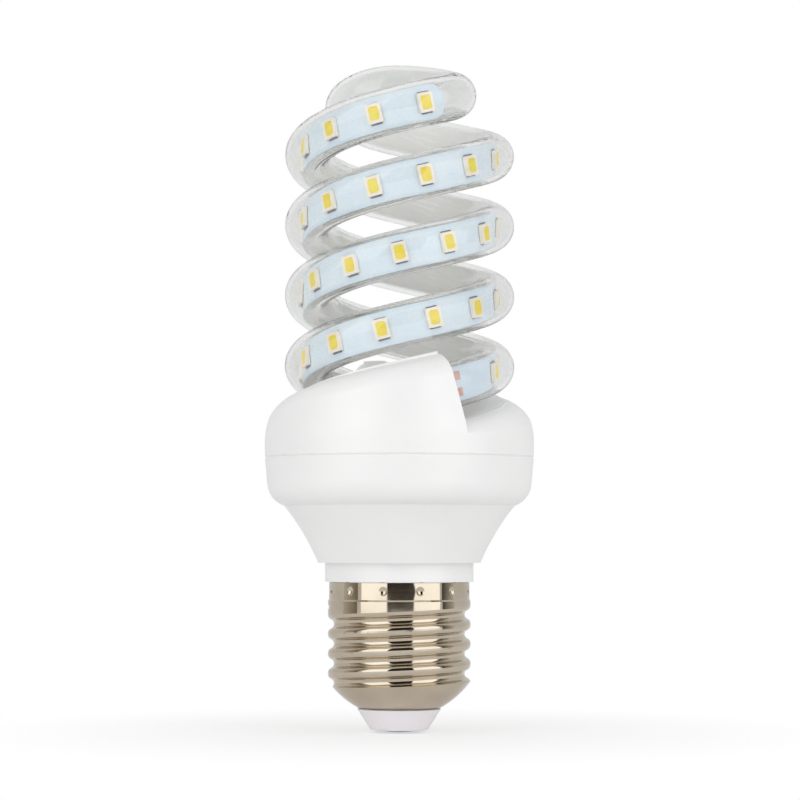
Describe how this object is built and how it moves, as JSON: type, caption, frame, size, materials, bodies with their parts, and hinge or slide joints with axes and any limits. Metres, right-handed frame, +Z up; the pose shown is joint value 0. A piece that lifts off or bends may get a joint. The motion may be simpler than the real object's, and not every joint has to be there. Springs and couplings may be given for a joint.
{
  "type": "spiral led bulb",
  "caption": "Screw-in light bulb with a clear double-spiral glass tube that holds strips of light diodes, on a white housing and a threaded metal cap.",
  "frame": {"origin": "middle of the centre contact's face, the lowest point of the upright bulb", "axes": "+Z up the bulb's axis from the contact to the top of the glass; -Y is the side that the picture shows; +X to its right"},
  "size_m": [0.0498, 0.0498, 0.1233],
  "materials": {
    "glass": "clear, fire-polished",
    "housing_plastic": "moulded, fine satin",
    "cap_metal": "nickel-plated, rolled",
    "insulator": "moulded, glossy",
    "strip_tape": "solder mask, satin",
    "diode_frame": "moulded, satin",
    "phosphor": "cured silicone, smooth",
    "cement": "cast, matt",
    "circuit_board": "solder mask, satin",
    "component_black": "moulded, matt",
    "component_yellow": "dipped, glossy",
    "ferrite": "sintered, matt",
    "copper": "enamelled wire",
    "resistor_body": "coated, satin",
    "wire_red": "extruded, satin",
    "wire_black": "extruded, satin",
    "wire_white": "extruded, satin"
  },
  "bodies": {
    "root": {"centre_contact": "cap_metal", "cap_insulator": "insulator", "cap_shell": "cap_metal", "lower_housing": "housing_plastic", "upper_housing": "housing_plastic", "spiral_tube": "glass", "tube_cement_a": "cement", "tube_cement_b": "cement", "led_strip_a": "strip_tape", "led_strip_b": "strip_tape", "led_packages_a": "diode_frame", "led_packages_b": "diode_frame", "led_phosphor_a": "phosphor", "led_phosphor_b": "phosphor", "driver_board": "circuit_board", "driver_chip": "component_black", "bridge_rectifier": "component_black", "smoothing_capacitor": "component_black", "film_capacitor": "component_yellow", "choke_core": "ferrite", "choke_winding": "copper", "fuse_resistor": "resistor_body", "live_wire": "wire_red", "neutral_wire": "wire_black", "strip_leads_a": "wire_white", "strip_leads_b": "wire_white"}
  },
  "joints": []
}
